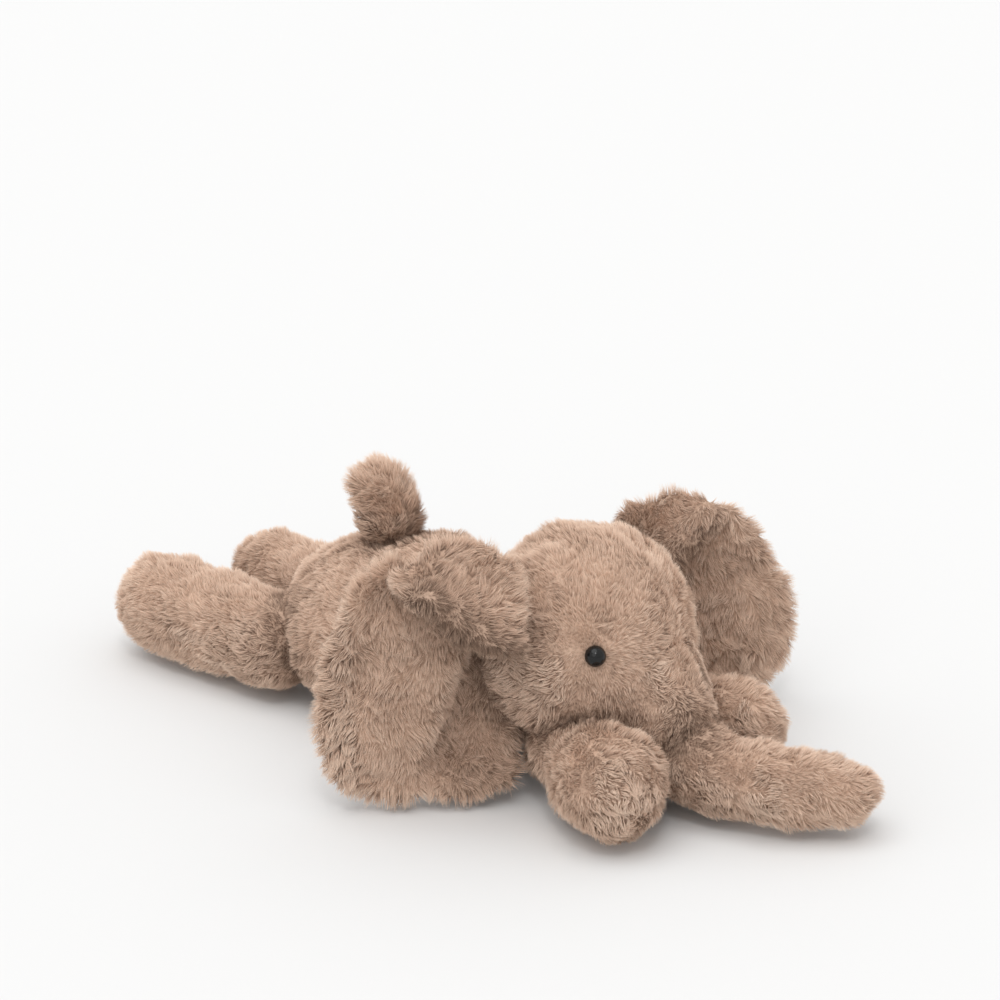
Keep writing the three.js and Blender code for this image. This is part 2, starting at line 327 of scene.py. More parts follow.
def earReach(form, flat):
    # none at the ear's middle and about one at its edge
    return np.linalg.norm((flat - np.array(form["middle"])) / np.array(earFolds["halfSize"]), axis=1)


def earDepth(form, flat, inside):
    # how far the ear's middle layer stands forwards at points of its plane, and at distances inside its edge
    depth = earFolds["cup"] * (smoothStep(earReach(form, flat)) - earFolds["cupBase"])
    above = -sideOfLine(flat, *form["roll"])
    rolled = smoothStep(above / earFolds["rollRise"] + 0.5)
    rolled *= smoothStep((earFolds["rollEnd"] - flat[:, 0]) / earFolds["rollFade"])
    lip = rolled * smoothStep(1.4 - above / earFolds["lipWidth"])
    depth += form["rollHeight"] * ((1 - earFolds["lipShare"]) * rolled + earFolds["lipShare"] * lip)
    outer = sideOfLine(flat, *form["pleat"])
    below = smoothStep(alongLine(flat, *form["pleat"]) * 4 + 0.6)
    below *= smoothStep((flat[:, 1] - earFolds["pleatFoot"]) / earFolds["pleatFade"])
    depth -= form["pleatDepth"] * smoothStep(0.5 - outer / earFolds["pleatWidth"]) * below * (1 - rolled)
    acrossAt, upAt, wide, tall, high = form["bulge"]
    depth += high * np.exp(-((flat[:, 0] - acrossAt) / wide) ** 2 - ((flat[:, 1] - upAt) / tall) ** 2)
    outerHalf = smoothStep((flat[:, 0] - earFolds["grooveStart"]) / earFolds["grooveFade"])
    depth -= form["groove"] * np.exp(-((inside - earFolds["grooveInside"]) / earFolds["grooveWidth"]) ** 2) * outerHalf
    # the roll's lip hangs over the hollow below it
    run = unit(np.array(form["roll"][1], float) - np.array(form["roll"][0], float))
    over = np.array([-run[1], run[0]]) * form["overhang"]
    hanging = lip * smoothStep((flat[:, 0] - earFolds["overhangStart"]) / earFolds["overhangFade"])
    return depth, hanging[:, None] * over


def paintedShadeInEarFolds(form, points):
    # where painted shade darkens the pile: one in the folds of an ear, under the roll's lip and behind the pleat, and
    # none elsewhere
    flat = earPlane(form, points)
    front = smoothStep((points[:, :2] - np.array(form["root"])) @ earAxes(form)[1][:2] / 4 + 0.5)
    under = sideOfLine(flat, *form["roll"])
    fold = np.exp(-((under - paintedFoldShade["below"]) / paintedFoldShade["width"]) ** 2)
    fold *= smoothStep((paintedFoldShade["end"] - flat[:, 0]) / paintedFoldShade["fade"])
    outer = sideOfLine(flat, *form["pleat"])
    behind = smoothStep(0.6 - outer / earFolds["pleatWidth"])
    behind = behind * np.exp(-np.maximum(-outer, 0) / paintedFoldShade["behindReach"])
    behind *= smoothStep((flat[:, 1] - paintedFoldShade["foot"]) / paintedFoldShade["footFade"]) * smoothStep(under / 4)
    return np.clip(fold + paintedFoldShade["behindShare"] * behind, 0, 1) * front


def addEarForm(name, form, inset):
    # a flattened ball spread to the ear's outline and folded
    bpy.ops.mesh.primitive_uv_sphere_add(segments=64, ring_count=36, radius=1, rotation=(math.pi / 2, 0, 0))
    piece = bpy.context.object
    piece.name = name
    bpy.ops.object.transform_apply(rotation=True)
    ball = coordsOf(piece.data)
    angle = np.arctan2(ball[:, 2], ball[:, 0])
    share = np.clip(np.hypot(ball[:, 0], ball[:, 2]), 0, 1)
    outline = np.array(form["outline"], float) - np.array(form["middle"], float)
    bearing = np.arctan2(outline[:, 1], outline[:, 0])
    order = np.argsort(bearing)
    reach = np.interp(angle, bearing[order], np.linalg.norm(outline, axis=1)[order], period=2 * math.pi)
    flat = np.stack([np.cos(angle), np.sin(angle)], 1) * (share * (reach - inset))[:, None] + np.array(form["middle"])
    thick = np.sqrt(np.clip(1 - share ** earFolds["edgeSharpness"], 0, 1)) * np.sign(-ball[:, 1])
    thick = thick * earFolds["thickness"] / 2
    out, forwards = earAxes(form)
    depth, shift = earDepth(form, flat, (1 - share) * reach)
    depth += thick
    flat = flat + shift
    point = np.array([*form["root"], 0]) + out * flat[:, :1] + forwards * depth[:, None]
    point[:, 2] = np.maximum(flat[:, 1], floorLift)
    setCoords(piece.data, point * mm)
    return piece


def joined(first, second):
    makeActive(first)
    second.select_set(True)
    bpy.ops.object.join()
    return first


# Heights of the seams, and half the width of the head's gusset.
seams = {"belt": 12, "gusset": 12, "chin": 26, "trunk": 12, "leg": 20}
noSeam = 99.0


def seamDistance(name, points):
    # how far points lie from the nearest seam of their form
    across, height = np.abs(points[:, 0]), points[:, 2]
    if name == "torso":
        back = np.where(height > seams["belt"], across, noSeam)
        return np.minimum(back, np.abs(height - seams["belt"]))
    if name == "head":
        chin = np.where(across < seams["gusset"], np.abs(height - seams["chin"]), noSeam)
        return np.minimum(np.abs(across - seams["gusset"]), chin)
    if name == "trunk":
        return np.abs(height - seams["trunk"])
    if "leg" in name:
        return np.abs(height - seams["leg"])
    return np.full(len(points), noSeam)


lumps = {"broad": 0.7, "broadSize": 24, "fine": 0.45, "fineSize": 9}  # uneven filling
puffs = {"frames": 20, "pressure": 5000, "stiffness": 5, "bending": 0.1, "cap": 2.4, "pinWidth": 1.8}


def puffUp(pieces):
    # pressure swells every skin between its seams, and no point moves further than the cap
    starts = {}
    for name, piece in pieces.items():
        starts[name] = coordsOf(piece.data)
        group = piece.vertex_groups.new(name="seam")
        pinned = np.nonzero(seamDistance(name, starts[name] / mm) < puffs["pinWidth"])[0]
        group.add([int(i) for i in pinned], 1, "REPLACE")
        cloth = piece.modifiers.new("stuffing", "CLOTH")
        cloth.settings.vertex_group_mass = "seam"
        cloth.settings.use_pressure = True
        cloth.settings.uniform_pressure_force = puffs["pressure"]
        cloth.settings.tension_stiffness = cloth.settings.compression_stiffness = puffs["stiffness"]
        cloth.settings.shear_stiffness = puffs["stiffness"] / 2
        cloth.settings.bending_stiffness = puffs["bending"]
        cloth.settings.effector_weights.gravity = 0
        cloth.point_cache.frame_end = puffs["frames"]
    for number in range(1, puffs["frames"] + 1):
        scene.frame_set(number)
    for name, piece in pieces.items():
        applyModifiers(piece)
        move = coordsOf(piece.data) - starts[name]
        far = np.linalg.norm(move, axis=1, keepdims=True)
        move *= np.minimum(1, puffs["cap"] * mm / np.maximum(far, 1e-9))
        point = starts[name] + move
        point[:, 2] = np.maximum(point[:, 2], floorLift * mm)
        setCoords(piece.data, point)
        print("stuffed", name, "largest move", round(float(far.max()) / mm, 1), "mm")
    scene.frame_set(1)


def finishSkin(piece):
    # smaller faces, and the uneven surface that filling gives
    finer = piece.modifiers.new("finer", "SUBSURF")
    finer.levels = finer.render_levels = 1
    applyModifiers(piece)
    for modifier in list(piece.modifiers):
        piece.modifiers.remove(modifier)
    piece.vertex_groups.clear()
    coords = coordsOf(piece.data)
    normals = np.zeros(coords.size, np.float32)
    piece.data.vertices.foreach_get("normal", normals)
    bumps = lumps["broad"] * waves(coords / mm, lumps["broadSize"], 7)
    bumps += lumps["fine"] * waves(coords / mm, lumps["fineSize"], 8)
    coords += normals.reshape(-1, 3) * bumps[:, None] * mm
    coords[:, 2] = np.maximum(coords[:, 2], floorLift * mm)
    setCoords(piece.data, coords)
    makeActive(piece)
    bpy.ops.object.shade_smooth()
    deselectAll()


skins = {}
for name, form in forms.items():
    inset = pileDepths.get(name, pileDepth) + (0 if name == "tail" else puffs["cap"] * 0.5)
    skin = addTube(name + "_skin", form, inset)
    if "ball" in form:
        skin = joined(skin, addBall("ball", form["spine"][0], form["ball"], inset))
    skins[name] = remeshed(skin, voxels.get(name, voxels["skin"]))
puffUp(skins)
for name, form in ears.items():
    skins[name] = remeshed(addEarForm(name + "_skin", form, pileDepths[name]), voxels["ear"])
for skin in skins.values():
    finishSkin(skin)
print("skins made")

# Pile, in millimetres, strands to a square millimetre, and degrees. Lifts are from the skin at a strand's root and tip.
# Strands lean together in tufts, and their tips are pulled together in locks. The crease and hollow shades are painted
# shade: they darken the pile's colour where forms meet and in the ears' folds.
pile = {
    "perArea": 3.4, "denser": 1.15, "bentShare": 0.1, "rootLift": 66, "tipLift": 22, "width": 0.31, "sink": 0.6,
    "tuftGap": 4.5, "tuftTurn": 22, "tuftLift": 0.2, "tuftPull": 0.35, "tuftReach": 9, "lockGap": 1.0, "lockPull": 0.4,
    "wander": 26, "strandTurn": 9, "seamWidth": 1.6, "seamShort": 0.3, "rimLong": 0.3, "underShare": 0.25,
    "lockTone": 0.08, "strandTone": 0.05, "patchTone": 0.09, "paintedCreaseShade": 0.62, "creaseReach": 7, "paintedHollowShade": 1.2,
    "hiddenDepth": 7, "hiddenDepthLimb": 11,
}
pileLength = {"torso": 4, "head": 4.5, "trunk": 4.8, "foreleg_right": 4.7, "foreleg_left": 4.6, "hindleg_right": 4.2,
              "hindleg_left": 4.2, "tail": 6.4, "ear_right": 5, "ear_left": 5}
# The head is turned a little to its left, so its left eye is set further round.
eyes = {
    "places": {"right": np.array([-26.4, -75.8, 63.6]), "left": np.array([33.4, -65.6, 63.2])}, "radius": 3.9,
    "proud": 1.1, "bare": 2.7,
    # sides, radius, thickness, and depth inside the head
    "shank": (20, 1.3, 9, 5), "washer": (24, 5.5, 1.5, 9),
}


def eyeDistance(points):
    return np.minimum(*(np.linalg.norm(points - place, axis=1) for place in eyes["places"].values()))


def spread(obj, perArea, draw):
    # even random points on a skin, with the skin's smooth normals
    mesh = obj.data
    mesh.calc_loop_triangles()
    corners = np.zeros(len(mesh.loop_triangles) * 3, np.int32)
    mesh.loop_triangles.foreach_get("vertices", corners)
    corners = corners.reshape(-1, 3)
    coords = coordsOf(mesh) / mm
    normals = np.zeros(len(mesh.vertices) * 3, np.float32)
    mesh.vertices.foreach_get("normal", normals)
    normals = normals.reshape(-1, 3).astype(float)
    a, b, c = (coords[corners[:, i]] for i in range(3))
    area = np.linalg.norm(np.cross(b - a, c - a), axis=1) / 2
    count = int(area.sum() * perArea)
    pick = np.searchsorted(np.cumsum(area), (np.arange(count) + draw.random(count)) / count * area.sum())
    pick = np.minimum(pick, len(area) - 1)
    u, v = draw.random(count), draw.random(count)
    fold = u + v > 1
    u[fold], v[fold] = 1 - u[fold], 1 - v[fold]
    weights = np.stack([1 - u - v, u, v], 1)[:, :, None]
    return (coords[corners[pick]] * weights).sum(1), unit((normals[corners[pick]] * weights).sum(1))


def depthIn(name, points):
    # how deep points lie inside a stuffed form, negative outside
    form = forms[name]
    spine = np.array(form["spine"], float)
    radii = np.interp(np.linspace(0, 1, len(spine)), np.linspace(0, 1, len(form["radii"])), form["radii"])
    best = np.full(len(points), -999.0)
    for i in range(len(spine) - 1):
        run = spine[i + 1] - spine[i]
        share = np.clip((points - spine[i]) @ run / (run @ run), 0, 1)
        nearest = spine[i] + share[:, None] * run
        radius = radii[i] + (radii[i + 1] - radii[i]) * share
        best = np.maximum(best, radius - np.linalg.norm(points - nearest, axis=1))
    if "ball" in form:
        scaled = np.linalg.norm((points - spine[0]) / np.array(form["ball"]), axis=1)
        best = np.maximum(best, (1 - scaled) * min(form["ball"]))
    return best


def flowOf(name, points):
    # the way the pile lies, from root to tip
    if name in ears:
        form = ears[name]
        flat = earPlane(form, points)
        away = flat - np.array(form["middle"])
        outwards = earAxes(form)[0] * away[:, :1] + np.array([0, 0, 1]) * away[:, 1:]
        rim = smoothStep((earReach(form, flat) - 0.5) / 0.45)[:, None]
        return unit(outwards) * rim * 1.3 + np.array([0, 0, -1]) * (1 - 0.6 * rim)
    if name == "head":
        away = points - np.where(points[:, :1] < 0, eyes["places"]["right"], eyes["places"]["left"])
        near = np.exp(-(np.linalg.norm(away, axis=1) / 30) ** 2)[:, None]
        back = unit(points - np.array([0, -95, 40])) * np.array([1, 1, 0.9])
        return unit(away) * (near * 1.5 + 0.25) + unit(back) * (1 - near)
    if name == "torso":
        down = np.clip((52 - points[:, 2]) / 40, 0, 1)
        return np.stack([np.sign(points[:, 0]) * 0.3, np.full(len(points), 0.75), down * -0.9], 1)
    spine = np.array(forms[name]["spine"], float)
    run = spine[-1] - spine[0]
    ahead = spineAt(forms[name], np.clip((points - spine[0]) @ run / (run @ run), 0, 1))[1]
    return ahead + np.array([0, 0, -0.25])


def earRim(name, points):
    # none in the middle of an ear, and one at its edge
    return smoothStep((earReach(ears[name], earPlane(ears[name], points)) - 0.6) / 0.35)


def treeOf(points):
    tree = KDTree(len(points))
    for i, point in enumerate(points):
        tree.insert(point, i)
    tree.balance()
    return tree


def nearestOf(points, centres):
    tree = treeOf(centres)
    return np.fromiter((tree.find(point)[1] for point in points), np.int64, len(points))


def paintedShadeInCreases(name, points):
    # painted shade in the creases: one where a form touches its neighbours, fading to none a short way from them
    tree = treeOf(np.concatenate([coordsOf(skin.data)[::3] / mm for other, skin in skins.items() if other != name]))
    gap = np.fromiter((tree.find(point)[2] for point in points), float, len(points))
    return np.exp(-np.maximum(gap - 2, 0) / pile["creaseReach"])


def turned(vectors, axes, angles):
    # vectors turned about their axes
    cosine, sine = np.cos(angles)[:, None], np.sin(angles)[:, None]
    along = (vectors * axes).sum(1, keepdims=True)
    return vectors * cosine + np.cross(axes, vectors) * sine + axes * along * (1 - cosine)


def leaning(normal, flow, lift, length):
    # steps of the given lengths that lean from the skin towards the flow
    return (normal * np.sin(lift)[:, None] + flow * np.cos(lift)[:, None]) * length[:, None]


def showingRoots(name, skin, draw):
    # roots on one form, without those deep inside another and most of those under the belly
    root, normal = spread(skin, pile["perArea"] * (pile["denser"] if name in ears or name == "tail" else 1), draw)
    keep = np.ones(len(root), bool)
    for other in forms:
        if other != name:
            limb = {name, other} & {"head", "trunk"} or "leg" in other or "leg" in name
            keep &= depthIn(other, root) < pile["hiddenDepthLimb" if limb else "hiddenDepth"]
    under = (normal[:, 2] < -0.6) & (root[:, 2] < 6)
    keep &= ~under | (draw.random(len(root)) < pile["underShare"])
    if name == "head":
        keep &= eyeDistance(root) > eyes["bare"]
    return root[keep], normal[keep], under[keep]


def lengthOf(name, root, under, seed, draw):
    length = pileLength[name] * (1 + 0.16 * waves(root, 14, seed + 3)) * draw.uniform(0.78, 1.12, len(root))
    length *= 1 - pile["seamShort"] * np.exp(-(seamDistance(name, root) / pile["seamWidth"]) ** 2)
    if name in ears:
        length *= 1 + pile["rimLong"] * earRim(name, root)
    if name == "head":
        length *= 0.9 + 0.1 * smoothStep((eyeDistance(root) - 4) / 10)
    length[under] *= 0.5
    return length


def growPile(name, skin, seed):
    # roots, middles and tips of the strands of one form, with their shading normals and tones; the tones hold random
    # differences and painted shade in creases and ear folds
    draw = np.random.default_rng(seed)
    root, normal, under = showingRoots(name, skin, draw)
    count = len(root)
    flow = flowOf(name, root)
    flow = unit(flow - normal * (flow * normal).sum(1, keepdims=True))
    swirl = np.radians(pile["wander"]) * (waves(root, 30, seed + 1) + 0.6 * waves(root, 11, seed + 2))
    flow = turned(flow, normal, swirl)
    length = lengthOf(name, root, under, seed, draw)
    lift = 1 + 0.25 * waves(root, 9, seed + 4) + draw.normal(0, 0.1, count)
    # every strand leans as its tuft does
    tufts = draw.choice(count, max(4, int(count / pile["perArea"] / pile["tuftGap"] ** 2)), replace=False)
    tuft = nearestOf(root, root[tufts])
    tuftTurn = np.radians(draw.normal(0, pile["tuftTurn"], len(tufts)))[tuft]
    lift += draw.normal(0, pile["tuftLift"], len(tufts))[tuft]
    flow = turned(flow, normal, tuftTurn + np.radians(draw.normal(0, pile["strandTurn"], count)))
    rootLift = np.radians(np.clip(pile["rootLift"] * lift, 15, 88))
    tipLift = np.radians(np.clip(pile["tipLift"] + 22 * (lift - 1), -16, 50))
    rootLift[under] *= 0.3
    tipLift[under] *= 0.2
    middle = root + leaning(normal, flow, rootLift, length * 0.5)
    tip = middle + leaning(normal, flow, tipLift, length * 0.5)
    # tips are drawn to the tip of their tuft, and then to the tip of their lock
    toTuft = tip[tufts][tuft] - tip
    tip += toTuft * pile["tuftPull"] * np.exp(-np.linalg.norm(toTuft, axis=1) / pile["tuftReach"])[:, None]
    locks = draw.choice(count, max(4, int(count / pile["perArea"] / pile["lockGap"] ** 2)), replace=False)
    lock = nearestOf(root, root[locks])
    pull = (pile["lockPull"] * draw.uniform(0.75, 1.2, len(locks)))[lock][:, None]
    middle += (middle[locks][lock] - middle) * pull * 0.35
    tip += (tip[locks][lock] - tip) * pull
    tone = draw.normal(0, pile["lockTone"], len(locks))[lock] + draw.normal(0, pile["strandTone"], count)
    # patches of random tone, and painted shade where the form touches its neighbours
    tone += pile["patchTone"] * waves(root, 26, seed + 5) - pile["paintedCreaseShade"] * paintedShadeInCreases(name, root)
    # painted shade in the ear's folds, under the roll's lip and behind the pleat
    if name in ears:
        tone -= pile["paintedCreaseShade"] * pile["paintedHollowShade"] * paintedShadeInEarFolds(ears[name], root)
    root = root - normal * pile["sink"]
    lowest = 0.35 + draw.random(count) * 0.5  # the strands under the elephant lie on the floor
    middle[:, 2] = np.maximum(middle[:, 2], lowest)
    tip[:, 2] = np.maximum(tip[:, 2], lowest)
    root[:, 2] = np.maximum(root[:, 2], 0.5)
    return {"root": root, "middle": middle, "tip": tip, "normal": normal, "tone": tone,
            "width": pile["width"] * draw.uniform(0.75, 1.2, count)}


# Faces of a bent strand, which has seven points, and of a straight one, which has four.
bentFaces = np.array([[0, 1, 2], [0, 4, 1], [0, 3, 4], [1, 5, 2], [1, 4, 5], [2, 3, 0], [2, 5, 3], [3, 6, 4], [4, 6, 5],
                      [5, 6, 3]])
straightFaces = np.array([[0, 1, 2], [0, 3, 1], [1, 3, 2], [2, 3, 0]])
alongStrand = [0, 0, 0, 0.5, 0.5, 0.5, 1]
mapSpots = np.array([[0.1, 0.1], [0.9, 0.1], [0.5, 0.1], [0.1, 0.5], [0.9, 0.5], [0.5, 0.5], [0.5, 0.9]])


def strandMesh(name, grown, chosen):
    # each strand is a closed spike: a triangle at its root, one at its middle, and a point
    root, middle, tip, normal, tone, width = (
        grown[key][chosen] for key in ("root", "middle", "tip", "normal", "tone", "width"))
    count = len(root)
    bentCount = int(count * pile["bentShare"])  # the first ones bend, and the rest are straight
    lower = unit(middle - root)
    side = unit(np.cross(lower, normal) + 1e-6)
    face = np.cross(side, lower)
    coords = np.zeros((count, 7, 3))
    bend = np.zeros((count, 7, 3))
    for i in range(3):
        angle = 2 * math.pi * i / 3 + math.pi / 2
        out = side * math.cos(angle) + face * math.sin(angle)
        coords[:, i] = root + out * (width * 0.5)[:, None]
        coords[:, i + 3] = middle + out * (width * 0.42)[:, None]
        bend[:, i] = bend[:, i + 3] = out
    coords[:, 6] = tip
    bend[:, 6] = face
    start = bentCount * 7
    faces = np.concatenate([(np.arange(bentCount)[:, None, None] * 7 + bentFaces).reshape(-1),
                            (start + np.arange(count - bentCount)[:, None, None] * 4 + straightFaces).reshape(-1)])
    picked = [0, 1, 2, 6]  # a straight strand has no middle

    def both(values):
        # seven values a strand, as one list for the points of the bent and the straight ones
        return np.concatenate([values[:bentCount].reshape(-1, values.shape[-1]),
                               values[bentCount:, picked].reshape(-1, values.shape[-1])])

    points = both(coords)
    mesh = bpy.data.meshes.new(name)
    mesh.vertices.add(len(points))
    mesh.vertices.foreach_set("co", (points * mm).astype(np.float32).ravel())
    mesh.loops.add(len(faces))
    mesh.loops.foreach_set("vertex_index", faces.astype(np.int32))
    mesh.polygons.add(len(faces) // 3)
    mesh.polygons.foreach_set("loop_start", np.arange(0, len(faces), 3, dtype=np.int32))
    for word, values in (("strandTone", np.repeat(tone, 7)), ("strandAlong", np.tile(alongStrand, count))):
        attribute = mesh.attributes.new(word, "FLOAT", "POINT")
        attribute.data.foreach_set("value", both(values.reshape(-1, 7, 1)).astype(np.float32).ravel())
    # one cell of the map for each strand
    across = math.ceil(math.sqrt(count))
    cell = np.arange(count)
    corner = np.stack([cell % across, cell // across], 1) / across
    layer = mesh.uv_layers.new(name="OFBake")
    layer.data.foreach_set("uv", both(corner[:, None] + mapSpots / across)[faces].astype(np.float32).ravel())
    mesh.update(calc_edges=True)
    mesh.validate()
    mesh.polygons.foreach_set("use_smooth", np.ones(len(faces) // 3, bool))
    # faces turned away from the skin keep their own direction, and the others share the skin's
    own = both(bend)[faces].reshape(-1, 3, 3)
    atTip = both(np.tile([0.0] * 6 + [1.0], count).reshape(-1, 7, 1))[faces].reshape(-1, 3, 1)
    own = unit(own * (1 - atTip) + (own * (1 - atTip)).sum(1, keepdims=True) * atTip)
    outwards = both(np.repeat(normal[:, None], 7, 1))[faces].reshape(-1, 3, 3)
    facing = (own * outwards).sum(-1, keepdims=True)
    soft = unit(own + outwards * (0.1 + smoothStep(facing + 0.6)))
    mesh.normals_split_custom_set(soft.reshape(-1, 3))
    piece = bpy.data.objects.new(name, mesh)
    scene.collection.objects.link(piece)
    return piece


# Colours of the pile from root to tip, its uneven patches, and its soft finish.
pileFinish = {
    "root": (0.25, 0.165, 0.118), "middle": (0.635, 0.447, 0.337), "tip": (0.84, 0.655, 0.522), "middleAt": 0.45,
    "patchScale": 28, "patchStrength": 0.22, "roughness": 0.62, "specular": 0.08, "sheen": 0.08, "sheenRoughness": 0.5,
    "sheenTint": (0.9, 0.78, 0.68),
}
backingFinish = {"along": 0.2, "knitScale": 900, "knitTone": 0.2, "bump": 0.5, "bumpHeight": 0.0004, "roughness": 0.95,
                 "specular": 0.1}
beadFinish = {"dustScale": 900, "smoothest": 0.03, "roughest": 0.08, "darkest": 0.004, "palest": 0.012, "specular": 0.3}


def toneGroup():
    # turns the place along a strand and its tone (random differences, and painted shade in creases) into a colour, with
    # broad uneven patches
    group = bpy.data.node_groups.new("pileTone", "ShaderNodeTree")
    group.interface.new_socket("Along", in_out="INPUT", socket_type="NodeSocketFloat")
    group.interface.new_socket("Tone", in_out="INPUT", socket_type="NodeSocketFloat")
    group.interface.new_socket("Color", in_out="OUTPUT", socket_type="NodeSocketColor")
    entry, leave = group.nodes.new("NodeGroupInput"), group.nodes.new("NodeGroupOutput")
    ramp = nodeOf(group, "ShaderNodeValToRGB")
    ramp.color_ramp.elements[0].color = (*pileFinish["root"], 1)
    ramp.color_ramp.elements[1].color = (*pileFinish["tip"], 1)
    half = ramp.color_ramp.elements.new(pileFinish["middleAt"])
    half.color = (*pileFinish["middle"], 1)
    place = nodeOf(group, "ShaderNodeTexCoord")
    patches = nodeOf(group, "ShaderNodeTexNoise", Scale=pileFinish["patchScale"], Detail=2)
    lift = nodeOf(group, "ShaderNodeMath", operation="MULTIPLY_ADD")
    lift.inputs[1].default_value = pileFinish["patchStrength"]
    lift.inputs[2].default_value = -pileFinish["patchStrength"] / 2
    addTone = nodeOf(group, "ShaderNodeMath", operation="ADD")
    addPatch = nodeOf(group, "ShaderNodeMath", operation="ADD")
    link = group.links.new
    link(place.outputs["Object"], patches.inputs["Vector"])
    link(patches.outputs["Fac"], lift.inputs[0])
    link(entry.outputs["Along"], addTone.inputs[0])
    link(entry.outputs["Tone"], addTone.inputs[1])
    link(addTone.outputs[0], addPatch.inputs[0])
    link(lift.outputs[0], addPatch.inputs[1])
    link(addPatch.outputs[0], ramp.inputs["Fac"])
    link(ramp.outputs["Color"], leave.inputs["Color"])
    return group


pileTone = toneGroup()


def strandMaterial():
    material, tree, shader = newMaterial("pileStrands")
    along = nodeOf(tree, "ShaderNodeAttribute", attribute_name="strandAlong")
    tone = nodeOf(tree, "ShaderNodeAttribute", attribute_name="strandTone")
    group = nodeOf(tree, "ShaderNodeGroup", node_tree=pileTone)
    tree.links.new(along.outputs["Fac"], group.inputs["Along"])
    tree.links.new(tone.outputs["Fac"], group.inputs["Tone"])
    tree.links.new(group.outputs["Color"], shader.inputs["Base Color"])
    shader.inputs["Roughness"].default_value = pileFinish["roughness"]
    shader.inputs["Specular IOR Level"].default_value = pileFinish["specular"]
    shader.inputs["Sheen Weight"].default_value = pileFinish["sheen"]
    shader.inputs["Sheen Roughness"].default_value = pileFinish["sheenRoughness"]
    shader.inputs["Sheen Tint"].default_value = (*pileFinish["sheenTint"], 1)
    return material


def backingMaterial():
    # knitted backing cloth that shows only between the roots
    material, tree, shader = newMaterial("pileBacking")
    place = nodeOf(tree, "ShaderNodeTexCoord")
    knit = nodeOf(tree, "ShaderNodeTexVoronoi", Scale=backingFinish["knitScale"])
    group = nodeOf(tree, "ShaderNodeGroup", node_tree=pileTone)
    group.inputs["Along"].default_value = backingFinish["along"]
    stitches = nodeOf(tree, "ShaderNodeMath", operation="MULTIPLY")
    stitches.inputs[1].default_value = backingFinish["knitTone"]
    bump = nodeOf(tree, "ShaderNodeBump", Strength=backingFinish["bump"], Distance=backingFinish["bumpHeight"])
    tree.links.new(place.outputs["Object"], knit.inputs["Vector"])
    tree.links.new(knit.outputs["Distance"], stitches.inputs[0])
    tree.links.new(stitches.outputs[0], group.inputs["Tone"])
    tree.links.new(knit.outputs["Distance"], bump.inputs["Height"])
    tree.links.new(bump.outputs["Normal"], shader.inputs["Normal"])
    tree.links.new(group.outputs["Color"], shader.inputs["Base Color"])
    shader.inputs["Roughness"].default_value = backingFinish["roughness"]
    shader.inputs["Specular IOR Level"].default_value = backingFinish["specular"]
    return material


def beadMaterial():
    # glossy moulded black with a faint film of dust
    material, tree, shader = newMaterial("beadGloss")
    place = nodeOf(tree, "ShaderNodeTexCoord")
    dust = nodeOf(tree, "ShaderNodeTexNoise", Scale=beadFinish["dustScale"], Detail=3)
    rough = nodeOf(tree, "ShaderNodeMapRange")
    rough.inputs["To Min"].default_value = beadFinish["smoothest"]
    rough.inputs["To Max"].default_value = beadFinish["roughest"]
    tint = nodeOf(tree, "ShaderNodeMapRange")
    tint.inputs["To Min"].default_value = beadFinish["darkest"]
    tint.inputs["To Max"].default_value = beadFinish["palest"]
    mix = nodeOf(tree, "ShaderNodeCombineColor")
    tree.links.new(place.outputs["Object"], dust.inputs["Vector"])
    tree.links.new(dust.outputs["Fac"], rough.inputs["Value"])
    tree.links.new(dust.outputs["Fac"], tint.inputs["Value"])
    for channel in ("Red", "Green", "Blue"):
        tree.links.new(tint.outputs["Result"], mix.inputs[channel])
    tree.links.new(rough.outputs["Result"], shader.inputs["Roughness"])
    tree.links.new(mix.outputs["Color"], shader.inputs["Base Color"])
    shader.inputs["Specular IOR Level"].default_value = beadFinish["specular"]
    return material


strands, backing, gloss = strandMaterial(), backingMaterial(), beadMaterial()

# The panels that each form is sewn from, told apart by their points and normals.
panels = {
    "torso": {
        "torso_back_right": lambda p, n: (p[:, 2] > seams["belt"]) & (p[:, 0] < 0),
        "torso_back_left": lambda p, n: (p[:, 2] > seams["belt"]) & (p[:, 0] >= 0),
        "torso_belly": lambda p, n: p[:, 2] <= seams["belt"],
    },
    "head": {
        "head_side_right": lambda p, n: p[:, 0] < -seams["gusset"],
        "head_side_left": lambda p, n: p[:, 0] > seams["gusset"],
        "head_gusset": lambda p, n: (np.abs(p[:, 0]) <= seams["gusset"]) & (p[:, 2] > seams["chin"]),
        "chin": lambda p, n: (np.abs(p[:, 0]) <= seams["gusset"]) & (p[:, 2] <= seams["chin"]),
    },
    "trunk": {
        "trunk_upper": lambda p, n: p[:, 2] > seams["trunk"],
        "trunk_under": lambda p, n: p[:, 2] <= seams["trunk"],
    },
    "tail": {"tail_front": lambda p, n: n[:, 1] < 0, "tail_back": lambda p, n: n[:, 1] >= 0},
}
for leg in ("foreleg_right", "foreleg_left", "hindleg_right", "hindleg_left"):
    panels[leg] = {leg + "_upper": lambda p, n: p[:, 2] > seams["leg"],
                   leg + "_under": lambda p, n: p[:, 2] <= seams["leg"]}
for name, form in ears.items():
    front = earAxes(form)[1]
    panels[name] = {name + "_front": lambda p, n, front=front: n @ front > 0,
                    name + "_back": lambda p, n, front=front: n @ front <= 0}
# What each skin holds, where it isn't one piece of fibre.
fillings = {"torso": ["torso_fibre", "pellet_pouch"], "ear_right": ["ear_right_wadding"],
            "ear_left": ["ear_left_wadding"]}
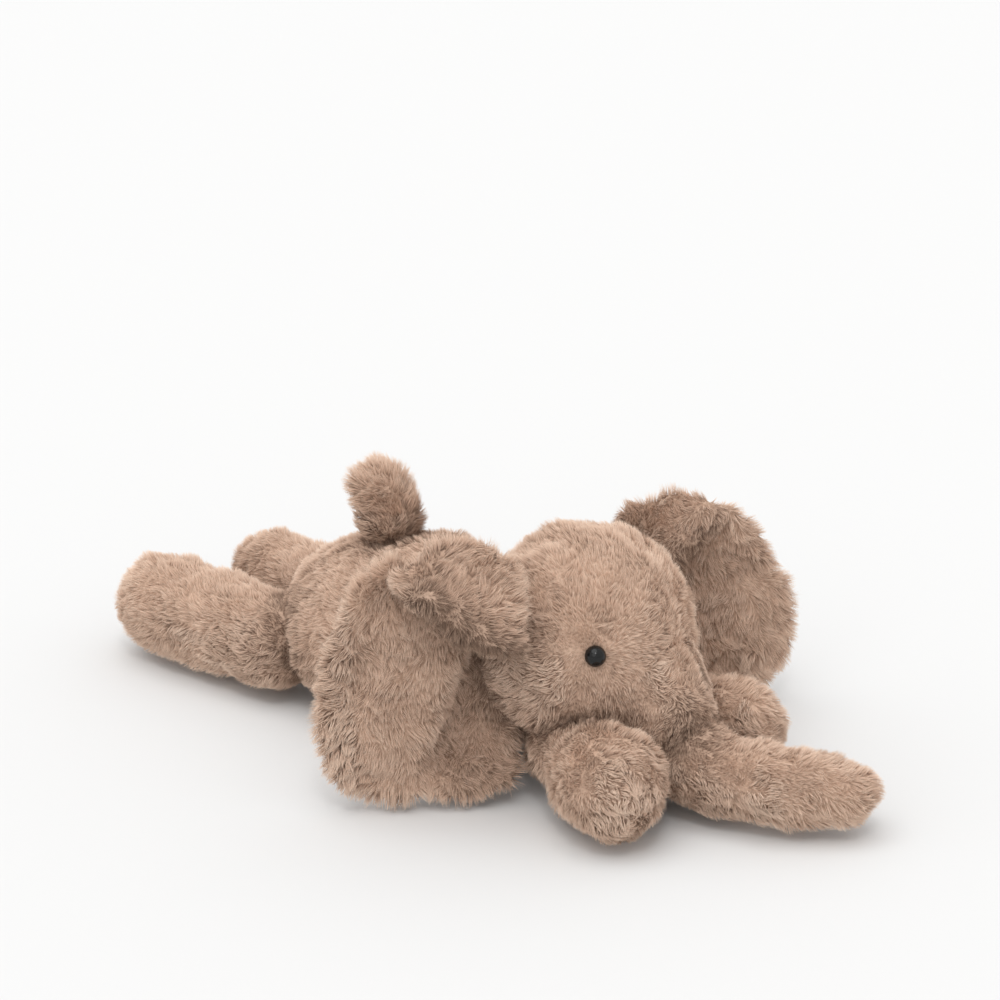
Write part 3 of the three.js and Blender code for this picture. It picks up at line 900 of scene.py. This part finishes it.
# A limb bends between two bodies from the first point to the second, in millimetres.
bends = {
    "trunk": ("head", "trunk", (0, -90, 21), (1, -108, 19)),
    "foreleg_right": ("torso", "foreleg_right", (-17, -46, 20), (-26, -68, 20)),
    "foreleg_left": ("torso", "foreleg_left", (17, -46, 20), (26, -68, 20)),
    "hindleg_right": ("torso", "hindleg_right", (-24, 78, 21), (-24.5, 104, 21)),
    "hindleg_left": ("torso", "hindleg_left", (24, 78, 21), (25, 104, 21)),
    "tail": ("torso", "tail", (0, 43, 70), (0, 49.5, 82)),
    "ear_right": ("head", "ear_right", (-38, -48, 50), (-49, -36, 50)),
    "ear_left": ("head", "ear_left", (40, -33, 50), (56, -41, 50)),
}


def hang(piece, form):
    # limbs blend into the body that they are sewn to, and the others ride on their own
    if form in bends:
        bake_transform(piece)
    else:
        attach(piece, form)


total = 0
for number, (form, skin) in enumerate(skins.items()):
    grown = growPile(form, skin, 100 + number * 10)
    for panel, inside in panels[form].items():
        chosen = inside(grown["root"], grown["normal"])
        coat = strandMesh(panel + "_pile", grown, chosen)
        coat.data.materials.append(strands)
        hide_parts(panel)
        hang(coat, form)
        total += int(chosen.sum())
        print(coat.name, int(chosen.sum()), "strands")
    skin.data.materials.clear()
    skin.data.materials.append(backing)
    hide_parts(*fillings.get(form, [form + "_fibre"]))
    hang(skin, form)
print("pile grown,", total, "strands")


def addDisc(disc, place, inwards, turn):
    sides, radius, thickness, depth = disc
    bpy.ops.mesh.primitive_cylinder_add(vertices=sides, radius=radius * mm, depth=thickness * mm, rotation=turn,
                                        location=(Vector(place) + inwards * depth) * mm)
    return bpy.context.object


# Each eye is a bead, its shank and the washer that holds it inside the head.
for word, place in eyes["places"].items():
    inwards = Vector(forms["head"]["spine"][0]) - Vector(place)
    turn = inwards.to_track_quat("Z", "Y").to_euler()
    inwards.normalize()
    bpy.ops.mesh.primitive_uv_sphere_add(segments=40, ring_count=24, radius=eyes["radius"] * mm, rotation=turn,
                                         location=(Vector(place) - inwards * eyes["proud"]) * mm)
    bead = bpy.context.object
    bead.name = "eye_" + word
    joined(bead, addDisc(eyes["shank"], place, inwards, turn))
    joined(bead, addDisc(eyes["washer"], place, inwards, turn))
    bpy.ops.object.transform_apply(location=True, rotation=True, scale=True)
    bpy.ops.object.shade_smooth_by_angle(angle=math.radians(40))
    bead.data.materials.clear()
    bead.data.materials.append(gloss)
    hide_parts("eye_bead_" + word, "eye_washer_" + word)
    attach(bead, "head")
    deselectAll()
print("eyes set")
